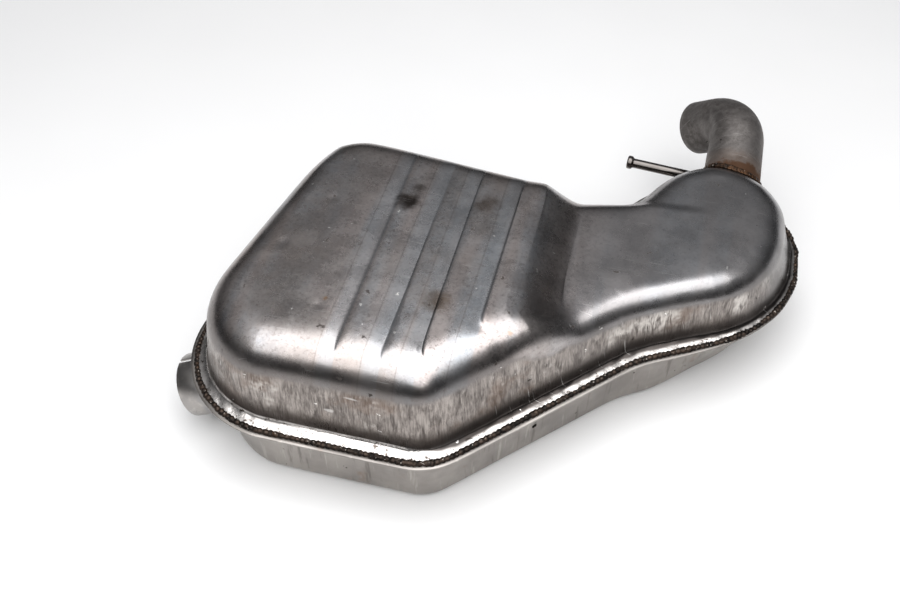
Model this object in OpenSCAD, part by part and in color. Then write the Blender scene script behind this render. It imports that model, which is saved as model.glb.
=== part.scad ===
// Rear exhaust silencer: two deep-drawn half shells welded round a flat seam,
// a slotted inlet collar, a turned-down tail pipe and a hanger rod.
// +X runs from the inlet end to the round lobe, +Y towards the tail pipe, +Z up.
// The origin is on the flat bottom of the lower half shell, under the main box.

/* [Shells] */
// Height of the seam above the flat bottom
seam_z = 76; // [74:1:80]
// Height of the main box above the flat bottom
box_top = 168; // [160:1:180]
// Height of the leg and the lobe above the flat bottom
leg_top = 140; // [138:1:146]
// Sheet thickness of both half shells
sheet = 1.5; // [1.2:0.1:2]
// Shoulder radius of the upper half shell
upper_shoulder = 30; // [26:1:32]
// Shoulder radius of the lower half shell
lower_shoulder = 13; // [10:1:16]
// Start of the slope from the box down to the leg
slope_start = 124; // [118:1:130]
// Length of that slope
slope_len = 46; // [38:1:52]
// Rise of the bottom under the lobe
lobe_lift = 8; // [0:1:10]

/* [Ribs] */
// Depth of the pressed ribs in the box top
rib_depth = 1.4; // [0.6:0.1:2]
// Width of one rib
rib_w = 15; // [10:1:18]

/* [Inlet] */
// Outer diameter of the inlet collar
collar_od = 60; // [58:0.5:60]
// Wall of the inlet collar
collar_wall = 1.6; // [1.2:0.1:2]
// Angle by which the collar points below the seam
collar_drop = 22; // [16:1:22]
// Width of the clamping slot in the collar
slot_w = 3; // [2:0.5:5]

/* [Tail pipe] */
// Outer diameter of the tail pipe
tail_od = 57; // [54:0.5:57]
// Wall of the pipes
pipe_wall = 1.5; // [1.2:0.1:1.8]
// Centre-line radius of the tail pipe's bend
tail_bend_r = 44; // [42:1:50]
// Angle through which the tail pipe turns
tail_turn = 71; // [60:1:80]
// Straight length after the bend
tail_tip = 27; // [24:1:34]

/* [Inside] */
// Outer diameter of the crossover pipe
crossover_od = 50; // [42:1:54]
// Outer diameter of the wool packing
wool_od = 98; // [84:1:100]
// Diameter of the perforations
perforation_d = 4; // [3:0.5:5]

/* [Hanger] */
// Diameter of the hanger rod
rod_d = 10; // [9:0.5:11]
// Diameter of the upset head on the rod's free end
rod_head_d = 14; // [13:0.5:16]

/* [Hidden] */
$fn = 64;
eps = 0.001;

// Corners of the flat top of the upper half shell, as [x, y, fillet radius]
corner_a = [-115, -112, 44];
corner_b = [66, -112, 8];
corner_c = [208, 37, 175];
corner_d = [327, 105, 90];
corner_e = [327, 198, 40];
corner_f = [265, 198, 39];
corner_g = [232, 130, 66];
corner_h = [122, 99, 100];
corner_i = [-70, 120, 25];
near_corners = [corner_i, corner_a, corner_b, corner_c, corner_d, corner_e];
far_corners = [corner_b, corner_a, corner_i, corner_h, corner_g, corner_f, corner_e, corner_d];

// Distances outside the flat top's edge
foot_out = 40;
lower_flat_out = 26;
upper_rim_out = 50;
lower_rim_out = 57;
// The lobe's wall stands further out, its rim further in, and the lower ends are tucked in
lobe_wall_out = 2.5;
lobe_rim_in = 3;
end_tuck = 12;
lobe_tuck = 14;
foot_r = 5;
left_droop = 3;
// The near side's shoulder reaches further out, and along the leg it starts with a wide easy stretch
near_reach = 8;
near_easy = 14;
foot_steps = [90, 50, 0];
shoulder_steps = [0, 14, 28, 42, 56, 70, 82];

// Right-hand edges of the ribs
rib_edges = [-1, 38, 68, 108];

function unit(v) = v / norm(v);
function xy(c) = [c[0], c[1]];
function left_of(v) = [-v[1], v[0]];
function smooth(t) = let (u = min(max(t, 0), 1)) u * u * (3 - 2 * u);
function blend(a, b, t) = a + (b - a) * t;

// A filleted corner as [start, end, centre, radius, sense of turn]
function fillet(p, c, q) =
    let (
        u = unit(xy(c) - xy(p)),
        v = unit(xy(q) - xy(c)),
        sense = sign(u[0] * v[1] - u[1] * v[0]),
        cut = c[2] * tan(acos(min(u * v, 1)) / 2),
        start = xy(c) - cut * u
    )
    [start, xy(c) + cut * v, start + sense * c[2] * left_of(u), c[2], sense];
function fillets(list) = [for (i = [1 : len(list) - 2]) fillet(list[i - 1], list[i], list[i + 1])];
near_side = fillets(near_corners);
far_side = fillets(far_corners);
x_low = near_side[0][2][0] - corner_a[2];
x_high = far_side[5][2][0] + corner_e[2];

// Point and outward normal where a side has the given x; way is -1 on the near side
function arc_at(f, x, way) =
    let (
        dx = min(max(x - f[2][0], -f[3]), f[3]),
        dy = -f[4] * sqrt(f[3] * f[3] - dx * dx)
    )
    [f[2] + [dx, dy], -way * f[4] * [dx, dy] / f[3]];
function line_at(p, q, x, way) =
    let (t = (x - p[0]) / (q[0] - p[0]))
    [blend(p, q, t), way * left_of(unit(q - p))];
function side_at(side, x, way) =
    let (k = [for (i = [0 : len(side) - 1]) if (x <= side[i][1][0] + eps) i][0])
    (k == 0 || x >= side[k][0][0]) ? arc_at(side[k], x, way)
                                   : line_at(side[k - 1][1], side[k][0], x, way);

// Stations along X, close together where the outline or the top bends
function sorted(v) =
    len(v) <= 1 ? v :
    let (p = v[floor(len(v) / 2)])
    concat(
        sorted([for (e = v) if (e < p) e]),
        [for (e = v) if (e == p) e],
        sorted([for (e = v) if (e > p) e])
    );
function spaced(v, gap) = [for (i = [0 : len(v) - 1]) if (i == 0 || v[i] - v[i - 1] > gap) v[i]];
end_steps = [0 : 12 : 84];
left_stations = [for (a = end_steps) x_low + corner_a[2] * (1 - cos(a))];
right_stations = [for (a = end_steps) x_high - corner_e[2] * (1 - cos(a))];
arc_stations = [
    for (f = concat([for (i = [1, 2, 3]) near_side[i]], [for (i = [1, 2, 3, 4]) far_side[i]]))
        for (t = [0 : 0.25 : 1]) min(max(blend(f[0][0], f[1][0], t), x_low), x_high)
];
rib_stations = [for (x = rib_edges) for (t = [-1, -0.5, -0.08, 0]) x + t * rib_w];
slope_stations = [for (t = [0 : 0.125 : 1]) slope_start + t * slope_len];
stations = spaced(sorted(concat(left_stations, right_stations, arc_stations, rib_stations, slope_stations)), 0.9);
last_station = len(stations) - 1;
near_points = [for (x = stations) side_at(near_side, x, -1)];
far_points = [for (i = [last_station : -1 : 1]) side_at(far_side, stations[i], 1)];
loop_points = concat(near_points, far_points);
loop_len = len(loop_points);

function rib_fall(x) =
    max([for (e = rib_edges) (x > e - rib_w && x < e) ? min((x - e + rib_w) / rib_w * 1.08, 1) : 0]);
function droop(x) = left_droop * smooth((-20 - x) / 90);
function plain_top_z(x) =
    blend(box_top, leg_top, smooth((x - slope_start) / slope_len)) - droop(x);
function top_z(x) = plain_top_z(x) - rib_depth * rib_fall(x);
function bottom_z(x) = lobe_lift * smooth((x - 230) / 70);
function lobe_part(x) = smooth((x - 250) / 60);
function tuck(x) = end_tuck * smooth((-60 - x) / 50) + lobe_tuck * smooth((x - 230) / 80);

function near_part(n) = smooth(-n[1]);
// Upper shoulder at a point of outline p = [point, normal]: its easy stretch, radius and reach
function easy_at(p) = near_easy * near_part(p[1]) * smooth((p[0][0] - slope_start + 16) / 50);
function shoulder_at(p, r) = r + near_reach * near_part(p[1]) - easy_at(p);
function shoulder_out(p, a, r) =
    (a > 0 ? easy_at(p) : 0) + (shoulder_at(p, r) + lobe_wall_out * lobe_part(p[0][0])) * sin(a);
function shoulder_fall(p, a, r) = shoulder_at(p, r) * (1 - cos(a));

// One ring of a half shell: the outline moved outwards, with a height for each point
function ring(outs, heights) =
    [for (i = [0 : loop_len - 1])
        let (p = loop_points[i][0] + outs[i] * loop_points[i][1])
        [p[0], p[1], heights[i]]];
function level(v) = [for (p = loop_points) v];
function shifted(list, d) = [for (v = list) v + d];
tops = [for (p = loop_points) top_z(p[0][0])];
plain_tops = [for (p = loop_points) plain_top_z(p[0][0])];
bottoms = [for (p = loop_points) bottom_z(p[0][0])];
wall_outs = [for (p = loop_points) foot_out + lobe_wall_out * lobe_part(p[0][0])];
lower_rim_outs = [for (p = loop_points) lower_rim_out - lobe_rim_in * lobe_part(p[0][0])];
lower_flat_outs = [for (p = loop_points) lower_flat_out - tuck(p[0][0])];

// Shoulder ring at angle a, from the flat outwards; dir is -1 where the wall falls
function upper_ring(a, r, sink) =
    ring(
        [for (p = loop_points) shoulder_out(p, a, r)],
        [for (i = [0 : loop_len - 1])
            (a < 20 ? tops[i] : plain_tops[i]) - sink - shoulder_fall(loop_points[i], a, r)]
    );
function lower_ring(a, r, rise) =
    ring(shifted(lower_flat_outs, r * sin(a)), shifted(bottoms, rise + r * (1 - cos(a))));
// Ring of the rounded foot between the wall and the seam flange
function foot_ring(a, r, z, dir) =
    ring(shifted(wall_outs, foot_r - r * sin(a)), level(z + dir * r * (1 - cos(a))));
function backwards(list) = [for (i = [len(list) - 1 : -1 : 0]) list[i]];

// A closed skin through successive rings, capped at both ends by strips along Y
module skin(rings, flip) {
    n = len(rings);
    wall = [
        for (j = [0 : n - 2]) for (i = [0 : loop_len - 1])
            let (
                a = j * loop_len + i,
                b = j * loop_len + (i + 1) % loop_len,
                c = b + loop_len,
                d = a + loop_len
            )
            each [[a, b, c], [a, c, d]]
    ];
    cap = [
        for (i = [0 : last_station - 1])
            let (
                a = i,
                b = i + 1,
                c = loop_len - i - 1,
                d = (loop_len - i) % loop_len
            )
            each (i == 0 ? [[a, c, b]] : [[a, d, c], [a, c, b]])
    ];
    end = [for (t = cap) [for (k = [2, 1, 0]) t[k] + (n - 1) * loop_len]];
    faces = concat(wall, cap, end);
    polyhedron(
        points = [for (r = rings) each r],
        faces = flip ? [for (t = faces) [t[2], t[1], t[0]]] : faces,
        convexity = 6
    );
}

module upper_skin() {
    inner_r = upper_shoulder - sheet;
    skin(concat(
        [for (a = shoulder_steps) upper_ring(a, upper_shoulder, 0)],
        [for (a = foot_steps) foot_ring(a, foot_r, seam_z + sheet, 1)],
        [ring(level(upper_rim_out), level(seam_z + sheet)), ring(level(upper_rim_out), level(seam_z))],
        [for (a = backwards(foot_steps)) foot_ring(a, foot_r + sheet, seam_z, 1)],
        [for (a = backwards(shoulder_steps)) upper_ring(a, inner_r, sheet)]
    ), false);
}
module lower_skin() {
    inner_r = lower_shoulder - sheet;
    skin(concat(
        [for (a = shoulder_steps) lower_ring(a, lower_shoulder, 0)],
        [for (a = foot_steps) foot_ring(a, foot_r, seam_z - sheet, -1)],
        [ring(lower_rim_outs, level(seam_z - sheet)), ring(lower_rim_outs, level(seam_z))],
        [for (a = backwards(foot_steps)) foot_ring(a, foot_r + sheet, seam_z, -1)],
        [for (a = backwards(shoulder_steps)) lower_ring(a, inner_r, sheet)]
    ), true);
}

// Places its child, drawn along +Z from the origin, at p along direction d
module along(p, d) {
    translate(p)
        rotate([0, acos(d[2] / norm(d)), atan2(d[1], d[0])])
            children();
}
module tube(length, od, id) {
    linear_extrude(height = length)
        difference() {
            circle(d = od);
            circle(d = id);
        }
}
// The frame of a bend from direction d towards direction e, and where a bend ends
function side_of(d, e) = unit(e - (e * d) * d);
function turn_of(d, e) = acos(d * e);
function bend_end(p, d, e, r) =
    p + r * ((1 - cos(turn_of(d, e))) * side_of(d, e) + sin(turn_of(d, e)) * d);
// Bends are drawn a hair thinner than the straights, which reach a little way over them
bend_step = 0.01;
bend_lap = 0.5;
module bend(p, d, e, r, od, id) {
    s = side_of(d, e);
    c = p + r * s;
    w = cross(-s, d);
    multmatrix([
        [-s[0], d[0], w[0], c[0]],
        [-s[1], d[1], w[1], c[1]],
        [-s[2], d[2], w[2], c[2]],
        [0, 0, 0, 1]
    ])
        rotate_extrude(angle = turn_of(d, e))
            translate([r, 0])
                difference() {
                    circle(d = od - 2 * bend_step);
                    circle(d = id + 2 * bend_step);
                }
}
// Radial holes through a tube that runs along +X at [y, z]
module perforations(y, z, r) {
    for (x = [-20 : 14 : 36])
        for (a = [22.5 : 45 : 337.5])
            translate([x, y, z])
                rotate([a, 0, 0])
                    cylinder(d = perforation_d, h = r, $fn = 16);
}

// Tail pipe: rises out of the lobe, then turns sideways and down
tail_root = [301.5, 236, 108.5];
tail_rise = 12.5;
tail_yaw = 2;
tail_inner_len = 16;
tail_straight = 42;
tail_lean = 41;
tail_dir = [-sin(tail_yaw) * cos(tail_rise), cos(tail_yaw) * cos(tail_rise), sin(tail_rise)];
tail_side = side_of(tail_dir, [-sin(tail_lean), 0, -cos(tail_lean)]);
tail_bend_at = tail_root + tail_straight * tail_dir;
tail_end_dir = cos(tail_turn) * tail_dir + sin(tail_turn) * tail_side;
tail_tip_at = bend_end(tail_bend_at, tail_dir, tail_end_dir, tail_bend_r);
tail_id = tail_od - 2 * pipe_wall;

// Inlet: the collar slopes down and outwards, the pipe inside levels out
collar_at = [-161.5, -99, 31.5];
collar_yaw = 8.5;
collar_in = [cos(collar_drop) * cos(collar_yaw), cos(collar_drop) * sin(collar_yaw), sin(collar_drop)];
collar_len = 46;
collar_id = collar_od - 2 * collar_wall;
socket_len = 34;
neck_step = 1.2;
slot_len = 13;
slot_turn = -8;
fit_gap = 0.1;
inlet_od = collar_id - 2 * neck_step - fit_gap;
inlet_start = collar_at + (socket_len + 1) * collar_in;
inlet_straight = 34;
inlet_bend_r = 90;
x_axis = [1, 0, 0];
inlet_bend_at = inlet_start + inlet_straight * collar_in;
inlet_level = bend_end(inlet_bend_at, collar_in, x_axis, inlet_bend_r);
inlet_end_x = 80;

// Outlet pipe: runs along the box and the leg, then bends up into the tail pipe
outlet_od = tail_id - fit_gap;
outlet_bend_r = 90;
outlet_last = 50;
outlet_bend_end = tail_root - outlet_last * tail_dir;
outlet_turn = turn_of(x_axis, tail_dir);
outlet_bend_at = outlet_bend_end - outlet_bend_r
    * ((1 - cos(outlet_turn)) * side_of(x_axis, tail_dir) + sin(outlet_turn) * x_axis);
outlet_start_x = -84;
bell_d = outlet_od + 16;
bell_len = 9;

// Baffles and the pipes that they carry
front_x = -38;
middle_x = 50;
rear_x = 203;
baffle_flange = 9;
hole_gap = 0.1;
crossover_y = 6;
crossover_z = 72;
inlet_y = inlet_level[1];
inlet_z = inlet_level[2];
outlet_y = outlet_bend_at[1];
outlet_z = outlet_bend_at[2];
screen_od = wool_od + 2 * sheet;

// One side of the hollow's section at x as [y, z] points, c inside the sheet
function side_section(side, x, way, top, c) =
    let (
        p = side_at(side, x, way),
        k = way / abs(p[1][1]),
        upper_r = upper_shoulder - sheet - c,
        lower_r = lower_shoulder - sheet - c,
        wall = foot_out - sheet - c
    )
    concat(
        [for (a = shoulder_steps)
            [p[0][1] + k * shoulder_out(p, a, upper_r), top - c - shoulder_fall(p, a, upper_r)]],
        [[p[0][1] + k * wall, seam_z + foot_r], [p[0][1] + k * wall, seam_z - foot_r]],
        [for (a = backwards(shoulder_steps))
            [p[0][1] + k * (lower_flat_out + lower_r * sin(a)), sheet + c + lower_r * (1 - cos(a))]]
    );

// A pressed plate across the hollow with a flange towards -X, fitted where each side is narrowest
module baffle(x, near_x, far_x, c) {
    top = min(plain_top_z(x - baffle_flange), plain_top_z(x + sheet)) - sheet - rib_depth;
    function section(c) = concat(
        side_section(near_side, near_x, -1, top, c),
        backwards(side_section(far_side, far_x, 1, top, c))
    );
    multmatrix([[0, 0, 1, x], [1, 0, 0, 0], [0, 1, 0, 0], [0, 0, 0, 1]]) {
        linear_extrude(height = sheet)
            polygon(section(c));
        translate([0, 0, -baffle_flange])
            linear_extrude(height = baffle_flange)
                difference() {
                    polygon(section(c));
                    polygon(section(c + sheet));
                }
    }
}
module pipe_hole(x, y, z, d) {
    translate([x - sheet, y, z])
        rotate([0, 90, 0])
            cylinder(d = d + 2 * hole_gap, h = 3 * sheet);
}
// A fillet bead round a pipe on the face of a baffle
module bead(x, y, z, d) {
    translate([x, y, z])
        rotate([0, -90, 0])
            rotate_extrude()
                polygon([[d / 2 + hole_gap, 0.1], [d / 2 + 3, 0.1], [d / 2 + hole_gap, 3]]);
}

// Centres of the round ends of the outline
near_left_centre = near_side[0][2];
lobe_far_centre = far_side[5][2];
lobe_left_centre = far_side[4][2];
drain_at = [160, -68, 36];
drain_dir = [-0.72, 0.69, 0];
drain_d = 5;

module upper_shell() {
    color("dimgray")
        difference() {
            upper_skin();
            along(tail_root - 40 * tail_dir, tail_dir)
                cylinder(d = tail_od + fit_gap, h = 80);
        }
}
module lower_shell() {
    color("silver")
        difference() {
            lower_skin();
            along(collar_at, collar_in)
                cylinder(d = collar_od + fit_gap, h = collar_len);
            along(drain_at - 20 * drain_dir, drain_dir)
                cylinder(d = drain_d, h = 40);
        }
}

// The bead that closes the seam, hooked over the upper shell's rim
module seam_weld() {
    rim = upper_rim_out;
    z = seam_z;
    t = sheet;
    profile = [
        [rim + 0.05, z + 0.05], [rim + 3.6, z + 0.05], [rim + 3.2, z + 1.9],
        [rim + 1.4, z + 3.2], [rim - 0.8, z + 3.1], [rim - 2, z + t + 0.05], [rim + 0.05, z + t + 0.05]
    ];
    n = len(profile);
    color("saddlebrown")
        polyhedron(
            points = [for (q = profile) each ring(level(q[0]), level(q[1]))],
            faces = [
                for (j = [0 : n - 1]) for (i = [0 : loop_len - 1])
                    let (
                        a = j * loop_len + i,
                        b = j * loop_len + (i + 1) % loop_len,
                        c = ((j + 1) % n) * loop_len + (i + 1) % loop_len,
                        d = ((j + 1) % n) * loop_len + i
                    )
                    each [[a, c, b], [a, d, c]]
            ]
        );
}

// Socket for the exhaust system's pipe, stepped down to hold the inlet pipe
module inlet_collar() {
    r = collar_od / 2;
    bore = collar_id / 2;
    color("slategray")
        difference() {
            along(collar_at, collar_in)
                rotate_extrude()
                    polygon([
                        [bore, 0], [r, 0], [r, socket_len - 1], [r - neck_step, socket_len + 1],
                        [r - neck_step, collar_len], [bore - neck_step, collar_len],
                        [bore - neck_step, socket_len], [bore, socket_len]
                    ]);
            along(collar_at, collar_in)
                rotate([0, 0, 180 + slot_turn])
                    translate([0, -slot_w / 2, -1])
                        cube([collar_od, slot_w, slot_len + 1]);
        }
}
// Weld round the collar where it meets the lower shell's wall
module inlet_weld() {
    wall_top = corner_a[2] + foot_out;
    wall_bottom = corner_a[2] + lower_flat_out + lower_shoulder;
    gap = 0.6;
    width = 4;
    color("saddlebrown")
        intersection() {
            along(collar_at, collar_in) tube(collar_len, collar_od + 7, collar_od + fit_gap);
            translate(near_left_centre)
                rotate_extrude()
                    polygon([
                        [wall_bottom - end_tuck + gap, 0], [wall_bottom - end_tuck + width, 0],
                        [wall_top + width, seam_z - foot_r - sheet], [wall_top + gap, seam_z - foot_r - sheet]
                    ]);
        }
}
module inlet_pipe() {
    id = inlet_od - 2 * pipe_wall;
    color("darkgray")
        difference() {
            union() {
                along(inlet_start, collar_in) tube(inlet_straight + bend_lap, inlet_od, id);
                bend(inlet_bend_at, collar_in, x_axis, inlet_bend_r, inlet_od, id);
                along(inlet_level - bend_lap * x_axis, x_axis)
                    tube(inlet_end_x - inlet_level[0] + bend_lap, inlet_od, id);
            }
            perforations(inlet_y, inlet_z, inlet_od);
        }
}

module front_baffle() {
    color("gray")
        difference() {
            baffle(front_x, front_x, front_x + sheet, 0.4);
            pipe_hole(front_x, inlet_y, inlet_z, inlet_od);
            pipe_hole(front_x, crossover_y, crossover_z, crossover_od);
            pipe_hole(front_x, outlet_y, outlet_z, outlet_od);
        }
}
module middle_baffle() {
    color("gray")
        difference() {
            baffle(middle_x, middle_x, middle_x + sheet, 0.4);
            pipe_hole(middle_x, inlet_y, inlet_z, inlet_od);
            pipe_hole(middle_x, crossover_y, crossover_z, crossover_od);
            pipe_hole(middle_x, outlet_y, outlet_z, outlet_od);
        }
}
module rear_baffle() {
    color("gray")
        difference() {
            baffle(rear_x, rear_x + sheet, rear_x - baffle_flange, 0.6);
            pipe_hole(rear_x, outlet_y, outlet_z, outlet_od);
        }
}
module wool_pack() {
    gap = 4;
    start = front_x + sheet + gap;
    color("khaki")
        along([start, inlet_y, inlet_z], x_axis)
            tube(middle_x - gap - start, wool_od, inlet_od + 2 * fit_gap);
}
module wool_screen() {
    gap = 0.5;
    start = front_x + sheet + gap;
    color("darkgray")
        difference() {
            along([start, inlet_y, inlet_z], x_axis)
                tube(middle_x - gap - start, screen_od, wool_od + fit_gap);
            perforations(inlet_y, inlet_z, screen_od);
        }
}
module crossover_pipe() {
    start = front_x - 22;
    color("darkgray")
        along([start, crossover_y, crossover_z], x_axis)
            tube(middle_x + 22 - start, crossover_od, crossover_od - 2 * pipe_wall);
}
module outlet_pipe() {
    id = outlet_od - 2 * pipe_wall;
    color("darkgray") {
        along([outlet_start_x, outlet_y, outlet_z], x_axis)
            tube(outlet_bend_at[0] - outlet_start_x + bend_lap, outlet_od, id);
        bend(outlet_bend_at, x_axis, tail_dir, outlet_bend_r, outlet_od, id);
        along(outlet_bend_end - bend_lap * tail_dir, tail_dir)
            tube(outlet_last + bend_lap, outlet_od, id);
    }
}
// Flared intake pushed over the outlet pipe's open end
module bell_mouth() {
    r = outlet_od / 2 + fit_gap;
    color("darkgray")
        translate([outlet_start_x, outlet_y, outlet_z])
            rotate([0, -90, 0])
                rotate_extrude()
                    polygon([
                        [r, -bell_len], [r + sheet, -bell_len], [r + sheet, 0], [bell_d / 2, bell_len],
                        [bell_d / 2 - sheet, bell_len], [r, 1]
                    ]);
}
module pipe_welds() {
    color("saddlebrown")
        for (x = [front_x, middle_x]) {
            bead(x, inlet_y, inlet_z, inlet_od);
            bead(x, crossover_y, crossover_z, crossover_od);
            bead(x, outlet_y, outlet_z, outlet_od);
        }
}

module tail_pipe() {
    color("gray") {
        along(tail_root - tail_inner_len * tail_dir, tail_dir)
            tube(tail_inner_len + tail_straight + bend_lap, tail_od, tail_id);
        bend(tail_bend_at, tail_dir, tail_end_dir, tail_bend_r, tail_od, tail_id);
        along(tail_tip_at - bend_lap * tail_end_dir, tail_end_dir)
            tube(tail_tip + bend_lap, tail_od, tail_id);
    }
}
// Weld round the tail pipe, following the lobe's wall and shoulder
module tail_weld() {
    gap = 0.6;
    width = 4.5;
    flat_r = corner_e[2];
    wall = flat_r + foot_out + lobe_wall_out;
    wall_z = seam_z + sheet + foot_r;
    function band(r) = [for (a = shoulder_steps)
        [flat_r + (r + lobe_wall_out) * sin(a), leg_top - upper_shoulder + r * cos(a)]];
    color("sienna")
        intersection() {
            along(tail_root - 30 * tail_dir, tail_dir) tube(60, tail_od + 7, tail_od + 2 * fit_gap);
            translate(lobe_far_centre)
                rotate_extrude()
                    polygon(concat(
                        band(upper_shoulder + gap),
                        [[wall + gap, wall_z], [wall + width, wall_z]],
                        backwards(band(upper_shoulder + width))
                    ));
        }
}

// Hanger: a headed rod on a small bracket beside the tail pipe
rod_at = [193, 254, 91];
rod_in = [274, 249.5, 88.8];
rod_head_len = 7;
rod_dir = unit(rod_in - rod_at);
bracket_z = 81.5;
bracket_t = 2;
module rod_profile() {
    r = rod_d / 2;
    h = rod_head_d / 2;
    polygon([
        [0, 0], [h - 1, 0], [h, 1], [h, rod_head_len - 2], [r, rod_head_len], [r, norm(rod_in - rod_at)],
        [0, norm(rod_in - rod_at)]
    ]);
}
module hanger_rod() {
    color("gainsboro")
        along(rod_at, rod_dir)
            rotate_extrude()
                rod_profile();
}
module hanger_bracket() {
    color("gray")
        difference() {
            translate([246, 220, bracket_z])
                cube([30, 36, bracket_t]);
            translate([lobe_left_centre[0], lobe_left_centre[1], bracket_z - 1])
                cylinder(r = corner_f[2] + foot_out + lobe_wall_out + 0.3, h = bracket_t + 2);
        }
}
module hanger_weld() {
    bead_len = 22;
    color("saddlebrown")
        difference() {
            for (side = [-1, 1])
                translate([250, 250.5 + side * 4.5, bracket_z + bracket_t + 0.05])
                    rotate([0, 90, 0])
                        rotate([0, 0, 180])
                            cylinder(r = 2.6, h = bead_len);
            along(rod_at, rod_dir)
                cylinder(d = rod_d + fit_gap, h = norm(rod_in - rod_at) + 1);
            translate([240, 230, bracket_z - 5])
                cube([50, 40, 5 + bracket_t + 0.05]);
        }
}

upper_shell();
lower_shell();
seam_weld();
inlet_collar();
inlet_weld();
inlet_pipe();
front_baffle();
middle_baffle();
rear_baffle();
wool_pack();
wool_screen();
crossover_pipe();
outlet_pipe();
bell_mouth();
pipe_welds();
tail_pipe();
tail_weld();
hanger_rod();
hanger_bracket();
hanger_weld();
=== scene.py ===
import math
import random

import bmesh
import bpy
from mathutils import Matrix, Vector, kdtree, noise


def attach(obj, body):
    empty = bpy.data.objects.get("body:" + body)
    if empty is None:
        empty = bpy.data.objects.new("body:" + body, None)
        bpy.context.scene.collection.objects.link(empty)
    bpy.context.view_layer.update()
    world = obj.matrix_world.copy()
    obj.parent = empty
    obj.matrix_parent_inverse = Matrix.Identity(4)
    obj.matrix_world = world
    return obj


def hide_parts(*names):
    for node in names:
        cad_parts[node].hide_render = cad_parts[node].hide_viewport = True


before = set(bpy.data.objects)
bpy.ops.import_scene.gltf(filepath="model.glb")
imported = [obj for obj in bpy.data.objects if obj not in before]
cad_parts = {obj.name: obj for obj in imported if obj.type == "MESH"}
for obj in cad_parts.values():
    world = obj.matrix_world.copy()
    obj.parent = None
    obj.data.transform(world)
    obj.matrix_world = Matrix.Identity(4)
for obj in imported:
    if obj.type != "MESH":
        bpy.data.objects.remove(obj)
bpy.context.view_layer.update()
luck = random.Random(27)

# Heights and lines of the design, in metres
SEAM_Z = 0.076
BOX_TOP = 0.168
LEG_TOP = 0.140
SHEET = 0.0015
RIB_EDGES = [-0.001, 0.038, 0.068, 0.108]
COLLAR_AT = Vector((-0.1615, -0.099, 0.0315))
COLLAR_IN = Vector((0.917, 0.137046, 0.374607)).normalized()

# Hanger rod: from its head to its root
ROD_AT = Vector((0.193, 0.254, 0.091))
ROD_IN = Vector((0.274, 0.2495, 0.0888))
ROD_R = 0.0050
HEAD_R = 0.0070

# Tail pipe: a straight from the lobe, one bend, and a short straight to the cut end
TAIL_ROOT = Vector((0.3015, 0.236, 0.1085))
TAIL_DIR = Vector((-0.0340722, 0.975701, 0.21644)).normalized()
TAIL_END_DIR = Vector((-0.642256, 0.449044, -0.621181)).normalized()
TAIL_R = 0.0285
TAIL_WALL = 0.0015
TAIL_SUNK = 0.016
TAIL_STRAIGHT = 0.042
TAIL_PAST_BEND = 0.027
BEND_R = 0.044
BEND_FROM = TAIL_ROOT + TAIL_STRAIGHT * TAIL_DIR
BEND_INSIDE = (TAIL_END_DIR - TAIL_END_DIR.dot(TAIL_DIR) * TAIL_DIR).normalized()
CREASE_FROM = Vector((0.262, 0.318, 0.131))
CREASE_TO = Vector((0.276, 0.286, 0.128))
CREASE_WIDTH = 0.0035
CREASE_DEPTH = 0.0016
PINCH_PAST = 0.004
PINCH_SPREAD = 0.020
PINCH_DEPTH = 0.0050

# The upper flange's slope: its rise at the wall's foot, how far in that is, where the rise fades out
FLANGE_RAKE = 0.0020
FLANGE_REACH = 0.009
FLANGE_BUCKLE = 0.0007
FOOT_TOP = 0.0835
FOOT_FADE = 0.025

# Going along x, the box's flange turns into the leg's; at each of them, the upper edge of the bare rim,
# which is painted paler as the flange's highlight
FLANGE_TURN = (0.050, 0.110)
RIM_EDGES = (0.0832, 0.0784)
# Going down, the gutter's painted shade with some dirt fades in between these heights
GUTTER_SHADE_HEIGHTS = (0.097, 0.089)

# Shells: folds sharper than this stay sharp, and the sheet is this uneven
FOLD = math.radians(58)
FOLD_CREASE = 0.9
RIB_CREASE = 0.05
TOP_STRIP = 0.009
UPPER_WAVES = 0.00025
LOWER_WAVES = 0.00020

# Beads: the net they are rebuilt on, and their ripples
SEAM_NET = 0.0009
SEAM_RIPPLES = {"pitch": 0.0048, "depth": 0.00085, "lump": 0.0010}
RING_NET = 0.0006
RING_RIPPLES = {"pitch": 0.0036, "depth": 0.0004, "lump": 0.0005}
RING_R = 0.030

# Where one pass of the seam weld ends on the next, and the lump left there
WELD_STOPS = [
    Vector((0.0396, -0.1640, 0.078)),
    Vector((0.0900, -0.1610, 0.078)),
    Vector((0.2360, -0.0300, 0.078)),
]
STOP_SIZE = 0.006
STOP_RISE = 0.0012

# Droplets beside the seam: how many, their radius, their distance in from the bead
DROPLETS = 260
DROPLET_R = (0.0003, 0.0009)
DROPLET_IN = (0.0020, 0.0085)

# Handling marks pressed into the shells: centre, radius, depth
DINGS = [
    (Vector((-0.030, -0.086, 0.166)), 0.007, 0.0006),
    (Vector((0.016, -0.108, 0.160)), 0.006, 0.0009),
    (Vector((0.084, -0.100, 0.160)), 0.009, 0.0008),
    (Vector((0.126, -0.086, 0.155)), 0.012, 0.0004),
    (Vector((0.010, 0.060, 0.168)), 0.008, 0.0008),
    (Vector((-0.085, -0.020, 0.166)), 0.010, 0.0005),
    (Vector((-0.060, 0.045, 0.167)), 0.008, 0.0005),
    (Vector((0.215, -0.010, 0.134)), 0.008, 0.0008),
]

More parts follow.
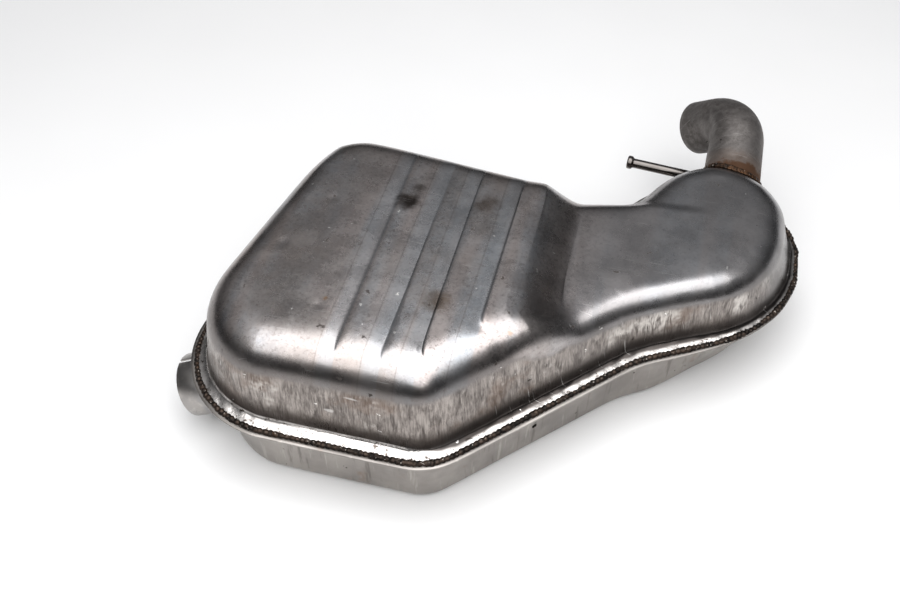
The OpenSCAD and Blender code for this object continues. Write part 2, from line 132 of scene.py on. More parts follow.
# Stains on the upper half: centre, radius, share, colour
STAINS = [
    ((0.010, 0.058, 0.167), 0.026, 0.95, (0.045, 0.036, 0.030)),
    ((0.014, 0.076, 0.167), 0.014, 0.80, (0.060, 0.045, 0.035)),
    ((0.081, 0.070, 0.167), 0.028, 0.65, (0.120, 0.085, 0.060)),
    ((0.066, -0.056, 0.167), 0.026, 0.65, (0.170, 0.110, 0.065)),
    ((-0.026, -0.077, 0.167), 0.006, 0.75, (0.380, 0.200, 0.070)),
    ((0.133, -0.070, 0.160), 0.006, 0.60, (0.380, 0.200, 0.070)),
    ((-0.075, 0.130, 0.155), 0.045, 0.50, (0.210, 0.185, 0.160)),
    ((0.100, 0.115, 0.160), 0.013, 0.75, (0.070, 0.058, 0.050)),
]

# Studio
FLOOR_REACH = 12
LAMP_AT = Vector((0.30, -0.60, 1.40))
LAMP_TOWARDS = Vector((0.30, -0.36, 0))
LAMP_YAW = math.radians(-20)
LAMP_SIZE = (2.3, 2.4)
LAMP_POWER = 40
CAMERA_AT = Vector((0.2305, -0.6466, 0.8490))
CAMERA_TOWARDS = Vector((0.040, 0.090, 0.004))
LENS = 43.2
# The room's brightness by height: place on the ramp, level
ROOM = ((0.0, 0.04), (0.25, 0.05), (0.60, 0.20), (0.84, 0.30), (0.96, 1.30))
ROOM_SEEN = (0.80, 0.80, 0.81, 1)


# ---------------------------------------------------------------- node trees

class Finish:
    """One material's node tree, with short names for the nodes it uses."""

    def __init__(self, name):
        self.material = bpy.data.materials.new(name)
        self.material.use_nodes = True
        self.tree = self.material.node_tree
        self.shader = self.tree.nodes["Principled BSDF"]
        self.place = self.node("ShaderNodeTexCoord").outputs["Object"]
        self.facing = self.node("ShaderNodeNewGeometry").outputs["Normal"]

    def node(self, kind, inputs=None, **settings):
        made = self.tree.nodes.new(kind)
        for key, value in settings.items():
            setattr(made, key, value)
        for key, value in (inputs or {}).items():
            self.give(made.inputs[key], value)
        return made

    def give(self, socket, value):
        if isinstance(value, bpy.types.NodeSocket):
            self.tree.links.new(value, socket)
        else:
            socket.default_value = value

    def stretched(self, scale, turn=(0, 0, 0), shift=(0, 0, 0)):
        inputs = {"Vector": self.place, "Scale": scale, "Rotation": turn, "Location": shift}
        return self.node("ShaderNodeMapping", inputs).outputs["Vector"]

    def cloud(self, scale, detail=3, rough=0.55, where=None, warp=0):
        inputs = {
            "Vector": where or self.place, "Scale": scale, "Detail": detail,
            "Roughness": rough, "Distortion": warp,
        }
        return self.node("ShaderNodeTexNoise", inputs).outputs["Fac"]

    def cells(self, scale, where=None):
        made = self.node("ShaderNodeTexVoronoi", {"Vector": where or self.place, "Scale": scale})
        return made.outputs["Distance"], made.outputs["Color"]

    def between(self, value, low, high, out_low=0.0, out_high=1.0):
        inputs = {"Value": value, "From Min": low, "From Max": high, "To Min": out_low, "To Max": out_high}
        made = self.node("ShaderNodeMapRange", inputs, interpolation_type="SMOOTHSTEP")
        return made.outputs["Result"]

    def sum(self, operation, *values):
        made = self.node("ShaderNodeMath", operation=operation)
        for socket, value in zip(made.inputs, values):
            self.give(socket, value)
        return made.outputs[0]

    def blend(self, share, low, high, mode="MIX"):
        made = self.node("ShaderNodeMix", data_type="RGBA", blend_type=mode)
        self.give(made.inputs["Factor"], share)
        for socket, value in ((made.inputs[6], low), (made.inputs[7], high)):
            self.give(socket, value if isinstance(value, bpy.types.NodeSocket) else (*value, 1))
        return made.outputs[2]

    def part(self, vector, axis):
        return self.node("ShaderNodeSeparateXYZ", {"Vector": vector}).outputs[axis]

    def spot(self, centre, radius, ragged=0.9):
        """A ragged round patch: 1 at the centre, 0 past the radius."""
        made = self.node("ShaderNodeVectorMath", {0: self.place, 1: centre}, operation="DISTANCE")
        edge = self.cloud(70, 4, 0.6)
        far = self.sum("MULTIPLY_ADD", edge, ragged * radius, made.outputs["Value"])
        return self.between(far, radius * 1.15, radius * 0.55)

    def bump(self, height, strength, distance, normal=None):
        inputs = {"Height": height, "Strength": strength, "Distance": distance}
        if normal:
            inputs["Normal"] = normal
        return self.node("ShaderNodeBump", inputs).outputs["Normal"]

    def done(self, colour, rough, normal, metallic=1.0):
        self.give(self.shader.inputs["Base Color"], colour)
        self.give(self.shader.inputs["Roughness"], rough)
        self.give(self.shader.inputs["Normal"], normal)
        self.shader.inputs["Metallic"].default_value = metallic
        return self.material


def steel_grain(m, fine=900, strength=0.25):
    """Rolled-sheet grain: fine tooth under a soft waviness."""
    waves = m.bump(m.cloud(38, 2, 0.5), 0.30, 0.0006)
    return m.bump(m.cloud(fine, 3, 0.6), strength, 0.00006, waves)


def specks(m, scale, size, keep):
    """Sparse small ragged chips, as a 0 to 1 mask."""
    push = m.node("ShaderNodeTexNoise", {"Vector": m.place, "Scale": scale * 2.4, "Detail": 3})
    moved = m.node(
        "ShaderNodeVectorMath", {0: push.outputs["Color"], 1: (0.9 / scale,) * 3, 2: m.place},
        operation="MULTIPLY_ADD",
    )
    near, tone = m.cells(scale, moved.outputs["Vector"])
    chosen = m.between(m.part(tone, "X"), keep, keep + 0.02)
    return m.sum("MULTIPLY", m.between(near, size, size * 0.5), chosen)


def scratches(m, turn, keep=0.70):
    """Thin short marks lying along one direction."""
    line = m.cloud(1, 2, 0.5, m.stretched((26, 950, 26), (0, 0, turn)))
    return m.between(line, keep, keep + 0.05)


def rolled_sheet(m):
    """Sheet as rolled: blue and mauve bands, blotches, mottling and dust."""
    bands = m.cloud(1, 2, 0.5, m.stretched((34, 2.2, 4)), 0.4)
    blotch = m.cloud(11, 4, 0.6)
    mottle = m.cloud(160, 3, 0.6)
    dust = m.cloud(330, 5, 0.8)
    haze = m.cloud(9, 5, 0.7)
    colour = m.blend(m.between(bands, 0.40, 0.62), (0.470, 0.415, 0.400), (0.420, 0.435, 0.460))
    colour = m.blend(m.between(blotch, 0.35, 0.70), colour, (0.350, 0.325, 0.315))
    colour = m.blend(m.between(mottle, 0.30, 0.75, 0.0, 0.35), colour, (0.560, 0.520, 0.500))
    colour = m.blend(m.between(dust, 0.50, 0.36, 0.0, 0.60), colour, (0.190, 0.172, 0.165))
    colour = m.blend(m.between(dust, 0.56, 0.68, 0.0, 0.40), colour, (0.620, 0.600, 0.590))
    return m.blend(m.between(haze, 0.38, 0.72, 0.0, 0.60), colour, (0.400, 0.335, 0.300))


def rib_tints_and_fold_shade(m, across, colour):
    """A blue tint up to each rib's edge, with a thin line of painted shade along the fold where it starts.
    """
    for edge in RIB_EDGES:
        start = m.between(across, edge - 0.017, edge - 0.010)
        ramp = m.sum("MULTIPLY", start, m.between(across, edge + 0.001, edge))
        colour = m.blend(m.sum("MULTIPLY", ramp, 0.35), colour, (0.430, 0.465, 0.500))
        # A thin dark line of painted shade along the fold where the rib's ramp starts
        line_in = m.between(across, edge - 0.0165, edge - 0.0155)
        line_out = m.between(across, edge - 0.0145, edge - 0.0155)
        line = m.sum("MULTIPLY", line_in, line_out)
        colour = m.blend(m.sum("MULTIPLY", line, 0.35), colour, (0.160, 0.140, 0.130))
    return colour


def die_marks_and_foot_shade(m, high, streak):
    """The walls' colour: streaks left by the die, rust, bare patches, and a dark foot of painted shade with
    some dirt.
    """
    marks = m.blend(m.between(streak, 0.34, 0.64), (0.120, 0.104, 0.096), (0.390, 0.352, 0.325))
    rusty = m.between(m.cloud(24, 4, 0.6), 0.52, 0.68, 0.0, 0.55)
    marks = m.blend(rusty, marks, (0.170, 0.115, 0.085))
    bare = m.between(m.cloud(19, 4, 0.65), 0.54, 0.66, 0.0, 0.75)
    bare = m.sum("MULTIPLY", bare, m.between(streak, 0.40, 0.54))
    marks = m.blend(bare, marks, (0.760, 0.715, 0.670))
    # Painted shade with some dirt: the wall's lowest part, in the corner above the flange, is darkened
    foot = m.between(m.sum("MULTIPLY_ADD", m.cloud(60, 3, 0.6), 0.012, high), 0.112, 0.098)
    return m.blend(m.sum("MULTIPLY", foot, 0.80), marks, (0.085, 0.070, 0.062))


def flange_rim_highlight_and_shade(m, high, across, colour):
    """Bare pitted metal at the flange's rim, painted paler so that it also stands as the flange's
    highlight, and along the leg a gutter at the wall's foot darkened with painted shade and some dirt.
    """
    edge = m.between(across, *FLANGE_TURN, *RIM_EDGES)
    rim = m.between(m.sum("SUBTRACT", high, edge), 0.0014, 0.0)
    # Painted shade with some dirt: the gutter at the leg's wall foot is darkened
    gutter = m.sum("MULTIPLY", m.between(across, *FLANGE_TURN), m.between(high, *GUTTER_SHADE_HEIGHTS))
    colour = m.blend(m.sum("MULTIPLY", gutter, 0.85), colour, (0.050, 0.042, 0.038))
    # The rim's bare pitted metal, painted paler than the sheet so that it also stands as the flange's
    # highlight
    plate = m.blend(m.cloud(90, 4, 0.6), (0.480, 0.450, 0.430), (0.760, 0.730, 0.700))
    plate = m.blend(m.between(m.cloud(150, 4, 0.7), 0.57, 0.65), plate, (0.120, 0.098, 0.085))
    return m.blend(rim, colour, plate), rim


def pressed_steel():
    """Upper half: drawn sheet with blue and mauve bands, stains, and drag marks on its walls."""
    m = Finish("pressed_steel")
    across = m.part(m.place, "X")
    high = m.part(m.place, "Z")
    upright = m.sum("ABSOLUTE", m.part(m.facing, "Z"))
    steep = m.sum("MULTIPLY_ADD", m.cloud(45, 4, 0.6), 0.16, upright)
    wall = m.between(steep, 0.40, 0.16)
    colour = rib_tints_and_fold_shade(m, across, rolled_sheet(m))
    leg = m.between(across, 0.15, 0.20)
    colour = m.blend(m.sum("MULTIPLY", leg, 0.60), colour, (0.360, 0.362, 0.372))
    # Below the shoulder the sheet is smooth and darkened by a band of painted shade, then the die has
    # dragged it
    top = m.between(across, 0.124, 0.170, BOX_TOP, LEG_TOP)
    below = m.sum("SUBTRACT", top, m.sum("MULTIPLY_ADD", m.cloud(45, 4, 0.6), 0.012, high))
    colour = m.blend(m.between(below, -0.002, 0.014, 0.0, 0.75), colour, (0.150, 0.138, 0.132))
    drag = m.cloud(1, 4, 0.65, m.stretched((640, 640, 34)), 0.6)
    broad = m.cloud(1, 4, 0.65, m.stretched((150, 150, 48)), 0.6)
    streak = m.sum("MULTIPLY_ADD", broad, 0.5, m.sum("MULTIPLY", drag, 0.5))
    dragged = m.sum("MULTIPLY", wall, m.between(below, 0.004, 0.012))
    colour = m.blend(dragged, colour, die_marks_and_foot_shade(m, high, streak))
    colour, rim = flange_rim_highlight_and_shade(m, high, across, colour)
    for centre, size, share, tone in STAINS:
        colour = m.blend(m.sum("MULTIPLY", m.spot(centre, size), share), colour, tone)
    chips = specks(m, 75, 0.20, 0.88)
    colour = m.blend(m.sum("MULTIPLY", chips, 0.85), colour, (0.060, 0.050, 0.045))
    glints = specks(m, 110, 0.15, 0.91)
    colour = m.blend(glints, colour, (0.950, 0.930, 0.900))
    colour = m.blend(m.sum("MULTIPLY", scratches(m, 0.5), 0.5), colour, (0.750, 0.730, 0.710))
    rough = m.between(m.cloud(30, 4, 0.6), 0.25, 0.75, 0.22, 0.33)
    matt = m.sum("MULTIPLY", dragged, m.between(streak, 0.60, 0.40))
    rough = m.sum("MULTIPLY_ADD", matt, 0.18, rough)
    rough = m.sum("MULTIPLY_ADD", chips, 0.30, rough)
    normal = m.bump(m.sum("MULTIPLY", drag, dragged), 0.5, 0.0006, steel_grain(m))
    normal = m.bump(m.sum("MULTIPLY", m.cloud(130, 3, 0.6), rim), 0.5, 0.0009, normal)
    return m.done(colour, rough, normal)


def pan_steel():
    """Lower half: cleaner warm grey sheet with upright drag marks, light rust and chips."""
    m = Finish("pan_steel")
    wall = m.between(m.sum("ABSOLUTE", m.part(m.facing, "Z")), 0.85, 0.45)
    blotch = m.cloud(14, 4, 0.6)
    colour = m.blend(m.between(blotch, 0.35, 0.70), (0.360, 0.335, 0.312), (0.240, 0.222, 0.208))
    drag = m.cloud(1, 4, 0.6, m.stretched((150, 150, 14)))
    worn = m.sum("MULTIPLY", m.between(drag, 0.58, 0.72, 0.0, 0.6), wall)
    colour = m.blend(worn, colour, (0.130, 0.114, 0.104))
    bright = m.sum("MULTIPLY", m.between(drag, 0.42, 0.30), 0.6)
    colour = m.blend(bright, colour, (0.480, 0.450, 0.420))
    rusty = m.between(m.cloud(26, 4, 0.6), 0.60, 0.72, 0.0, 0.45)
    colour = m.blend(rusty, colour, (0.230, 0.130, 0.080))
    chips = specks(m, 85, 0.14, 0.88)
    colour = m.blend(chips, colour, (0.050, 0.040, 0.035))
    rough = m.between(m.cloud(35, 4, 0.6), 0.25, 0.75, 0.30, 0.46)
    rough = m.sum("MULTIPLY_ADD", chips, 0.3, rough)
    normal = m.bump(m.sum("MULTIPLY", drag, wall), 0.35, 0.0006, steel_grain(m))
    return m.done(colour, rough, normal)


def weld_metal(name, dark, oxide, rust, share):
    """Oxidised bead: near-black scale, brown oxide, bare glints."""
    m = Finish(name)
    scale = m.cloud(170, 4, 0.65)
    colour = m.blend(m.between(scale, 0.38, 0.62), dark, oxide)
    colour = m.blend(m.between(m.cloud(60, 4, 0.6), 0.62 - share, 0.82 - share), colour, rust)
    glint = m.between(m.cloud(420, 2, 0.5), 0.66, 0.74)
    colour = m.blend(glint, colour, (0.620, 0.560, 0.500))
    rough = m.between(m.cloud(220, 3, 0.6), 0.30, 0.70, 0.30, 0.62)
    normal = m.bump(m.cloud(520, 4, 0.65), 0.6, 0.0003, m.bump(scale, 0.5, 0.0006))
    return m.done(colour, rough, normal, 0.85)


def tube_steel():
    """Tail pipe: grey-brown tube, heat tint and rust near its root."""
    m = Finish("tube_steel")
    blotch = m.cloud(20, 4, 0.6, None, 0.3)
    colour = m.blend(m.between(blotch, 0.35, 0.68), (0.125, 0.113, 0.106), (0.205, 0.190, 0.182))
    colour = m.blend(m.between(m.cloud(140, 4, 0.7), 0.40, 0.68, 0.0, 0.6), colour, (0.270, 0.252, 0.240))
    colour = m.blend(m.between(m.cloud(520, 4, 0.75), 0.46, 0.32, 0.0, 0.5), colour, (0.070, 0.060, 0.055))
    out = m.node("ShaderNodeVectorMath", {0: m.place, 1: TAIL_DIR}, operation="DOT_PRODUCT")
    ragged = m.sum("MULTIPLY_ADD", m.cloud(110, 5, 0.7), 0.022, out.outputs["Value"])
    root = TAIL_ROOT.dot(TAIL_DIR) + 0.006
    colour = m.blend(m.between(ragged, root + 0.026, root + 0.010, 0.0, 0.6), colour, (0.200, 0.155, 0.130))
    colour = m.blend(m.between(ragged, root + 0.008, root + 0.002, 0.0, 0.9), colour, (0.120, 0.062, 0.034))
    chips = specks(m, 90, 0.15, 0.84)
    colour = m.blend(chips, colour, (0.055, 0.045, 0.040))
    colour = m.blend(m.sum("MULTIPLY", scratches(m, 1.1, 0.68), 0.5), colour, (0.520, 0.500, 0.480))
    rough = m.between(m.cloud(45, 4, 0.6), 0.25, 0.75, 0.52, 0.68)
    rough = m.sum("MULTIPLY_ADD", m.between(ragged, root + 0.014, root + 0.008), 0.18, rough)
    return m.done(colour, rough, steel_grain(m, 800, 0.3))


def collar_steel():
    """Inlet socket: bare tube, bluish towards its welded end."""
    m = Finish("collar_steel")
    away = m.node("ShaderNodeVectorMath", {0: m.place, 1: COLLAR_AT}, operation="DISTANCE")
    ragged = m.sum("MULTIPLY_ADD", m.cloud(60, 4, 0.6), 0.01, away.outputs["Value"])
    colour = m.blend(m.cloud(30, 4, 0.6), (0.430, 0.400, 0.370), (0.300, 0.290, 0.290))
    colour = m.blend(m.between(ragged, 0.036, 0.052), colour, (0.190, 0.205, 0.230))
    colour = m.blend(m.between(m.cloud(150, 3, 0.6), 0.50, 0.78, 0.0, 0.5), colour, (0.560, 0.530, 0.500))
    colour = m.blend(specks(m, 120, 0.15, 0.85), colour, (0.060, 0.050, 0.045))
    rough = m.between(m.cloud(50, 4, 0.6), 0.25, 0.75, 0.26, 0.42)
    return m.done(colour, rough, steel_grain(m, 850, 0.25))


def bright_steel():
    """Drawn rod: dark and glossy, with small pits and marks along it."""
    m = Finish("bright_steel")
    along = m.stretched((40, 900, 900))
    colour = m.blend(m.cloud(60, 4, 0.6), (0.200, 0.185, 0.175), (0.120, 0.108, 0.100))
    colour = m.blend(specks(m, 260, 0.16, 0.82), colour, (0.040, 0.032, 0.028))
    rough = m.between(m.cloud(90, 3, 0.6), 0.30, 0.70, 0.09, 0.18)
    normal = m.bump(m.cloud(1, 2, 0.5, along), 0.25, 0.0001, m.bump(m.cloud(600, 2, 0.5), 0.15, 0.00005))
    return m.done(colour, rough, normal)


def inner_steel():
    """Baffles and inner tubes: plain rolled steel, sooted in clouds."""
    m = Finish("sooted_steel")
    soot = m.between(m.cloud(18, 5, 0.6), 0.40, 0.66)
    colour = m.blend(soot, (0.420, 0.405, 0.390), (0.090, 0.080, 0.072))
    colour = m.blend(m.between(m.cloud(200, 3, 0.6), 0.5, 0.8, 0.0, 0.4), colour, (0.500, 0.480, 0.460))
    rough = m.sum("MULTIPLY_ADD", soot, 0.28, m.between(m.cloud(60, 3, 0.6), 0.3, 0.7, 0.32, 0.48))
    return m.done(colour, rough, steel_grain(m, 700, 0.3))


def glass_wool():
    """Packing: pale tangled strands."""
    m = Finish("glass_wool")
    strands = m.cloud(1, 5, 0.7, m.stretched((60, 420, 420), (0.3, 0.2, 0.1)), 1.5)
    tangle = m.cloud(1, 5, 0.7, m.stretched((420, 60, 260), (0.2, 0.5, 0.3)), 1.5)
    colour = m.blend(strands, (0.500, 0.430, 0.260), (0.800, 0.740, 0.560))
    colour = m.blend(m.between(m.cloud(25, 3, 0.5), 0.5, 0.75, 0.0, 0.6), colour, (0.300, 0.250, 0.180))
    rough = m.between(tangle, 0.3, 0.7, 0.85, 1.0)
    normal = m.bump(strands, 0.8, 0.0015, m.bump(tangle, 0.8, 0.0015))
    m.shader.inputs["Sheen Weight"].default_value = 0.3
    return m.done(colour, rough, normal, 0.0)


def floor_paint():
    """Pale floor with a barely uneven tone."""
    m = Finish("pale_floor")
    colour = m.blend(m.cloud(3, 3, 0.5), (0.880, 0.876, 0.870), (0.910, 0.908, 0.905))
    rough = m.between(m.cloud(9, 3, 0.5), 0.3, 0.7, 0.55, 0.65)
    return m.done(colour, rough, m.bump(m.cloud(240, 2, 0.5), 0.04, 0.0002), 0.0)


# ---------------------------------------------------------------- mesh helpers

def copy_of(node, join=True):
    """A merged copy of a CAD node, with its flat triangles joined into quads."""
    bm = bmesh.new()
    bm.from_mesh(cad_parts[node].data)
    bmesh.ops.remove_doubles(bm, verts=bm.verts, dist=4e-6)
    if join:
        bmesh.ops.join_triangles(
            bm, faces=bm.faces, angle_face_threshold=math.radians(20),
            angle_shape_threshold=math.radians(60),
        )
    return bm


def piece(name, bm, material, replaced=(), sharp=None):
    """Turns a bmesh into a finished object that rides the part's one body."""
    mesh = bpy.data.meshes.new(name)
    bm.to_mesh(mesh)
    bm.free()
    for face in mesh.polygons:
        face.use_smooth = True
    if sharp:
        mesh.set_sharp_from_angle(angle=sharp)
    mesh.materials.clear()
    mesh.materials.append(material)
    made = bpy.data.objects.new(name, mesh)
    bpy.context.scene.collection.objects.link(made)
    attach(made, "root")
    if replaced:
        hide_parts(*replaced)
    return made


def carrier_of(bm):
    """A passing object that holds a bmesh while a modifier works on it."""
    mesh = bpy.data.meshes.new("work")
    bm.to_mesh(mesh)
    bm.free()
    carrier = bpy.data.objects.new("work", mesh)
    bpy.context.scene.collection.objects.link(carrier)
    return carrier


def refined(bm, levels):
    """The same shape after Catmull-Clark smoothing, creases kept."""
    carrier = carrier_of(bm)
    smoother = carrier.modifiers.new("smoother", "SUBSURF")
    smoother.levels = levels
    smoother.render_levels = levels
    return bake(carrier)


def remeshed(bm, size):
    """The same solid as an even net of small faces."""
    carrier = carrier_of(bm)
    net = carrier.modifiers.new("net", "REMESH")
    net.mode = "VOXEL"
    net.voxel_size = size
    return bake(carrier)


def bake(carrier):
    """Takes the modified mesh off a carrier object, removes the object, and returns a bmesh."""
    bpy.context.view_layer.update()
    view = bpy.context.evaluated_depsgraph_get()
    result = bpy.data.meshes.new_from_object(carrier.evaluated_get(view))
    bpy.data.objects.remove(carrier)
    bm = bmesh.new()
    bm.from_mesh(result)
    bpy.data.meshes.remove(result)
    return bm


def ease(t):
    """0 below 0, 1 above 1, and a smooth rise between."""
    t = min(max(t, 0.0), 1.0)
    return t * t * (3 - 2 * t)


def softened(bm, passes):
    """Evens the surface out by moving each corner towards its neighbours' middle."""
    for _ in range(passes):
        bmesh.ops.smooth_vert(
            bm, verts=bm.verts, factor=0.5, use_axis_x=True, use_axis_y=True, use_axis_z=True,
        )
    bm.normal_update()
    return bm


def crease_sharp(bm, angle):
    """Keeps the folds sharper than angle when the mesh is smoothed."""
    layer = bm.edges.layers.float.get("crease_edge") or bm.edges.layers.float.new("crease_edge")
    for edge in bm.edges:
        if len(edge.link_faces) == 2 and edge.calc_face_angle(0) > angle:
            edge[layer] = FOLD_CREASE
    return layer


# ---------------------------------------------------------------- shells

def sunk_corner(here):
    """How far the sheet drops behind the leg's ridge, where it runs on into the lobe."""
    behind = here.y - 0.132 - 0.053 * (here.x - 0.178)
    span = ease((0.290 - here.x) / 0.035) * ease((here.x - 0.150) / 0.030)
    return 0.0016 * ease(behind / 0.013) * span * ease((here.z - 0.118) / 0.010)


def dented(bm, strength):
    """Handling marks and the slight unevenness of drawn sheet."""
    for vert in bm.verts:
        here = vert.co.copy()
        here.z -= sunk_corner(here)
        lift = strength * noise.noise(here * 14) + 0.3 * strength * noise.noise(here * 45)
        for centre, radius, depth in DINGS:
            away = (here - centre).length / radius
            if away < 1:
                lift -= depth * ease(1 - away)
        vert.co = here + vert.normal * lift
    return bm


def raked_flange(bm, line):
    """Slopes the seam flange down from the wall's foot to its rim."""
    finder = kdtree.KDTree(len(line))
    for k, (point, _run) in enumerate(line):
        finder.insert((point.x, point.y, 0), k)
    finder.balance()
    for vert in bm.verts:
        here = vert.co
        if here.z > FOOT_TOP + FOOT_FADE:
            continue
        away = finder.find((here.x, here.y, 0))[2]
        low = 1 - ease((here.z - FOOT_TOP) / FOOT_FADE)
        buckle = FLANGE_BUCKLE * noise.noise(here * 105) * ease(away / 0.003)
        vert.co.z += low * (FLANGE_RAKE * min(away / FLANGE_REACH, 1.0) + buckle)
    return bm


def cut_long(bm, longest):
    """Cuts the top's long strips across, so that it can hold dents."""

    def too_long():
        top = [f for f in bm.faces if f.normal.z > 0.9]
        return {e for f in top for e in f.edges if e.calc_length() > 2 * longest}

    found = too_long()
    while found:
        bmesh.ops.subdivide_edges(bm, edges=list(found), cuts=1, use_grid_fill=True)
        bm.normal_update()
        found = too_long()
    return bm


def near_rib(x, reach):
    return any(abs(x - edge) < reach for edge in RIB_EDGES)


def along_rib(edge):
    """Whether an edge runs along the top of a rib's step."""
    a, b = (v.co for v in edge.verts)
    beside = any(abs(a.x - x) < 0.0016 and abs(b.x - x) < 0.0016 for x in RIB_EDGES)
    return beside and min(a.z, b.z) > BOX_TOP - 0.006


def rounded_ribs(bm):
    """Lets the ribs' edges sink into a soft round."""
    for _ in range(5):
        upward = (v for v in bm.verts if v.normal.z > 0.6 and v.co.z > BOX_TOP - 0.03)
        on_rib = [v for v in upward if near_rib(v.co.x, 0.0035)]
        bmesh.ops.smooth_vert(
            bm, verts=on_rib, factor=0.5, use_axis_x=False, use_axis_y=False, use_axis_z=True,
        )
        bm.normal_update()
    return bm


def upper_half():
    bm = cut_long(copy_of("upper_shell"), TOP_STRIP)
    layer = crease_sharp(bm, FOLD)
    for edge in bm.edges:
        if along_rib(edge):
            edge[layer] = RIB_CREASE
    return rounded_ribs(refined(bm, 2))


def lower_half():
    bm = copy_of("lower_shell")
    crease_sharp(bm, FOLD)
    return refined(bm, 2)


# ---------------------------------------------------------------- beads

def seam_line():
    """Points every half millimetre along the seam bead's crown, with the distance run so far."""
    bm = copy_of("seam_weld", join=False)
    top = max(v.co.z for v in bm.verts) - 2e-5
    crown = [e for e in bm.edges if all(v.co.z > top for v in e.verts)]
    linked = {}
    for edge in crown:
        a, b = edge.verts
        linked.setdefault(a, []).append(b)
        linked.setdefault(b, []).append(a)
    start = min(linked, key=lambda v: (v.co.x, v.co.y))
    path = [start]
    before = None
    while True:
        following = [v for v in linked[path[-1]] if v is not before]
        if not following or following[0] is start or len(path) > len(linked):
            break
        before = path[-1]
        path.append(following[0])
    corners = [v.co.copy() for v in path] + [start.co.copy()]
    bm.free()
    line = []
    run = 0.0
    for a, b in zip(corners, corners[1:]):
        steps = max(1, int((b - a).length / 0.0005))
        for k in range(steps):
            line.append((a.lerp(b, k / steps), run + (b - a).length * k / steps))
        run += (b - a).length
    return line


def rippled(bm, run_of, pitch, depth, lump):
    """Raises the stacked-coin ripples of a weld along the distance run_of gives."""
    for vert in bm.verts:
        here = vert.co.copy()
        run = run_of(here)
        wander = 0.35 * noise.noise(Vector((run * 90, 3.1, 0.7)))
        phase = (run / pitch + wander) % 1.0
        ripple = (1 - (2 * phase - 1) ** 2) - 0.6
        swell = 0.6 * noise.noise(Vector((run * 160, here.z * 60, 0.3)))
        swell += 0.9 * noise.noise(Vector((run * 55, 0.4, 1.7)))
        stop = sum(ease(1 - (here - place).length / STOP_SIZE) for place in WELD_STOPS)
        vert.co = here + vert.normal * (depth * ripple + lump * swell + STOP_RISE * stop)
    return bm


def seam_bead(line):
    """The closing weld, rippled along its own run."""
    finder = kdtree.KDTree(len(line))
    for k, (point, _run) in enumerate(line):
        finder.insert(point, k)
    finder.balance()
    bm = softened(remeshed(copy_of("seam_weld", join=False), SEAM_NET), 1)
    return rippled(bm, lambda p: line[finder.find(p)[1]][1], **SEAM_RIPPLES)


def ring_run(centre, axis):
    """Distance run round an axis."""
    side = axis.orthogonal().normalized()
    other = axis.cross(side)

    def run(point):
        arm = point - centre
        return RING_R * math.atan2(arm.dot(other), arm.dot(side))

    return run


def ring_bead(node, centre, axis):
    """A weld round a tube, rippled round its axis."""
    bm = softened(remeshed(copy_of(node, join=False), RING_NET), 2)
    return rippled(bm, ring_run(centre, axis), **RING_RIPPLES)


def spatter(line, count):
    """Droplets thrown along the seam: small squashed balls on the flange, inside the bead."""
    bm = bmesh.new()
    points = [point for point, _run in line]
    area = sum(a.x * b.y - b.x * a.y for a, b in zip(points, points[1:] + points[:1]))
    inwards = math.copysign(1, area)
    for _ in range(count):
        k = luck.randrange(len(points) - 8)
        along = (points[k + 8] - points[k]).normalized()
        size = luck.uniform(*DROPLET_R)
        off = luck.uniform(*DROPLET_IN)
        rise = FLANGE_RAKE * min(off / FLANGE_REACH, 1.0)
        place = points[k] + inwards * off * Vector((-along.y, along.x, 0))
        place.z = SEAM_Z + SHEET + rise
        stand = Matrix.Translation(place) @ Matrix.Diagonal((1, 1, 0.7, 1))
        bmesh.ops.create_icosphere(bm, subdivisions=1, radius=size, matrix=stand)
    return bm


# ---------------------------------------------------------------- tubes and rod

def turned(points, at, direction, steps):
    """A solid of revolution from (radius, height) points, standing at a point along a direction."""
    bm = bmesh.new()
    verts = [bm.verts.new((r, 0, h)) for r, h in points]
    edges = [bm.edges.new(pair) for pair in zip(verts, verts[1:])]
    bmesh.ops.spin(
        bm, geom=verts + edges, cent=(0, 0, 0), axis=(0, 0, 1), angle=2 * math.pi,
        steps=steps, use_merge=True,
    )
    bmesh.ops.remove_doubles(bm, verts=bm.verts, dist=1e-6)
    bmesh.ops.recalc_face_normals(bm, faces=bm.faces)
    turn = direction.to_track_quat("Z", "Y").to_matrix().to_4x4()
    bmesh.ops.transform(bm, matrix=Matrix.Translation(at) @ turn, verts=bm.verts)
    return bm


